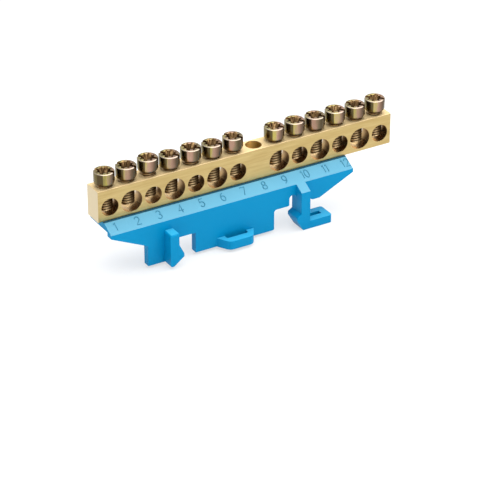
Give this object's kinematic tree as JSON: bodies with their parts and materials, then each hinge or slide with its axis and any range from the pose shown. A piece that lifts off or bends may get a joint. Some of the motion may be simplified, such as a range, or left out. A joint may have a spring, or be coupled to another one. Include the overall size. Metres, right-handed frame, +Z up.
{
  "type": "neutral terminal bar",
  "caption": "Brass terminal bar with a row of top screws over round cross holes, on a moulded blue insulator with a hook and spring latch for a top-hat rail.",
  "frame": {"origin": "middle of the rail seat: on the plane where the rail's lips bear, halfway between hook and latch, at mid-thickness of the insulator's front wall", "axes": "+X along the bar towards its overhanging end, +Y to the back across the rail's length, +Z up away from the rail"},
  "size_m": [0.0845, 0.0143, 0.027],
  "materials": {
    "blue_plastic": "moulded polyamide, fine satin surface",
    "brass": "drawn brass, plain, with faint lengthwise lines",
    "screw_steel": "steel, zinc plated with a yellow iridescent passivation"
  },
  "bodies": {
    "bar_and_insulator": {"insulator": "blue_plastic", "terminal_bar": "brass"},
    "screw_01": {"terminal_screw_01": "screw_steel"},
    "screw_02": {"terminal_screw_02": "screw_steel"},
    "screw_03": {"terminal_screw_03": "screw_steel"},
    "screw_04": {"terminal_screw_04": "screw_steel"},
    "screw_05": {"terminal_screw_05": "screw_steel"},
    "screw_06": {"terminal_screw_06": "screw_steel"},
    "screw_07": {"terminal_screw_07": "screw_steel"},
    "screw_08": {"terminal_screw_08": "screw_steel"},
    "screw_09": {"terminal_screw_09": "screw_steel"},
    "screw_10": {"terminal_screw_10": "screw_steel"},
    "screw_11": {"terminal_screw_11": "screw_steel"},
    "screw_12": {"terminal_screw_12": "screw_steel"},
    "screw_13": {"terminal_screw_13": "screw_steel"}
  },
  "joints": [
    {"name": "screw_01_travel", "type": "slide", "parent": "bar_and_insulator", "child": "screw_01", "axis": [0, 0, 1], "range_m": [-0.00002, 0.0038]},
    {"name": "screw_02_travel", "type": "slide", "parent": "bar_and_insulator", "child": "screw_02", "axis": [0, 0, 1], "range_m": [-0.00065, 0.00435]},
    {"name": "screw_03_travel", "type": "slide", "parent": "bar_and_insulator", "child": "screw_03", "axis": [0, 0, 1], "range_m": [-0.00052, 0.0033]},
    {"name": "screw_04_travel", "type": "slide", "parent": "bar_and_insulator", "child": "screw_04", "axis": [0, 0, 1], "range_m": [-0.0005, 0.0045]},
    {"name": "screw_05_travel", "type": "slide", "parent": "bar_and_insulator", "child": "screw_05", "axis": [0, 0, 1], "range_m": [-0.00022, 0.0036]},
    {"name": "screw_06_travel", "type": "slide", "parent": "bar_and_insulator", "child": "screw_06", "axis": [0, 0, 1], "range_m": [-0.0004, 0.0046]},
    {"name": "screw_07_travel", "type": "slide", "parent": "bar_and_insulator", "child": "screw_07", "axis": [0, 0, 1], "range_m": [-0.00012, 0.0037]},
    {"name": "screw_08_travel", "type": "slide", "parent": "bar_and_insulator", "child": "screw_08", "axis": [0, 0, 1], "range_m": [-0.00045, 0.00455]},
    {"name": "screw_09_travel", "type": "slide", "parent": "bar_and_insulator", "child": "screw_09", "axis": [0, 0, 1], "range_m": [-0.00002, 0.0038]},
    {"name": "screw_10_travel", "type": "slide", "parent": "bar_and_insulator", "child": "screw_10", "axis": [0, 0, 1], "range_m": [-0.0005, 0.0045]},
    {"name": "screw_11_travel", "type": "slide", "parent": "bar_and_insulator", "child": "screw_11", "axis": [0, 0, 1], "range_m": [-0.00002, 0.0038]},
    {"name": "screw_12_travel", "type": "slide", "parent": "bar_and_insulator", "child": "screw_12", "axis": [0, 0, 1], "range_m": [-0.0006, 0.0044]},
    {"name": "screw_13_travel", "type": "slide", "parent": "bar_and_insulator", "child": "screw_13", "axis": [0, 0, 1], "range_m": [-0.00022, 0.0036]}
  ]
}
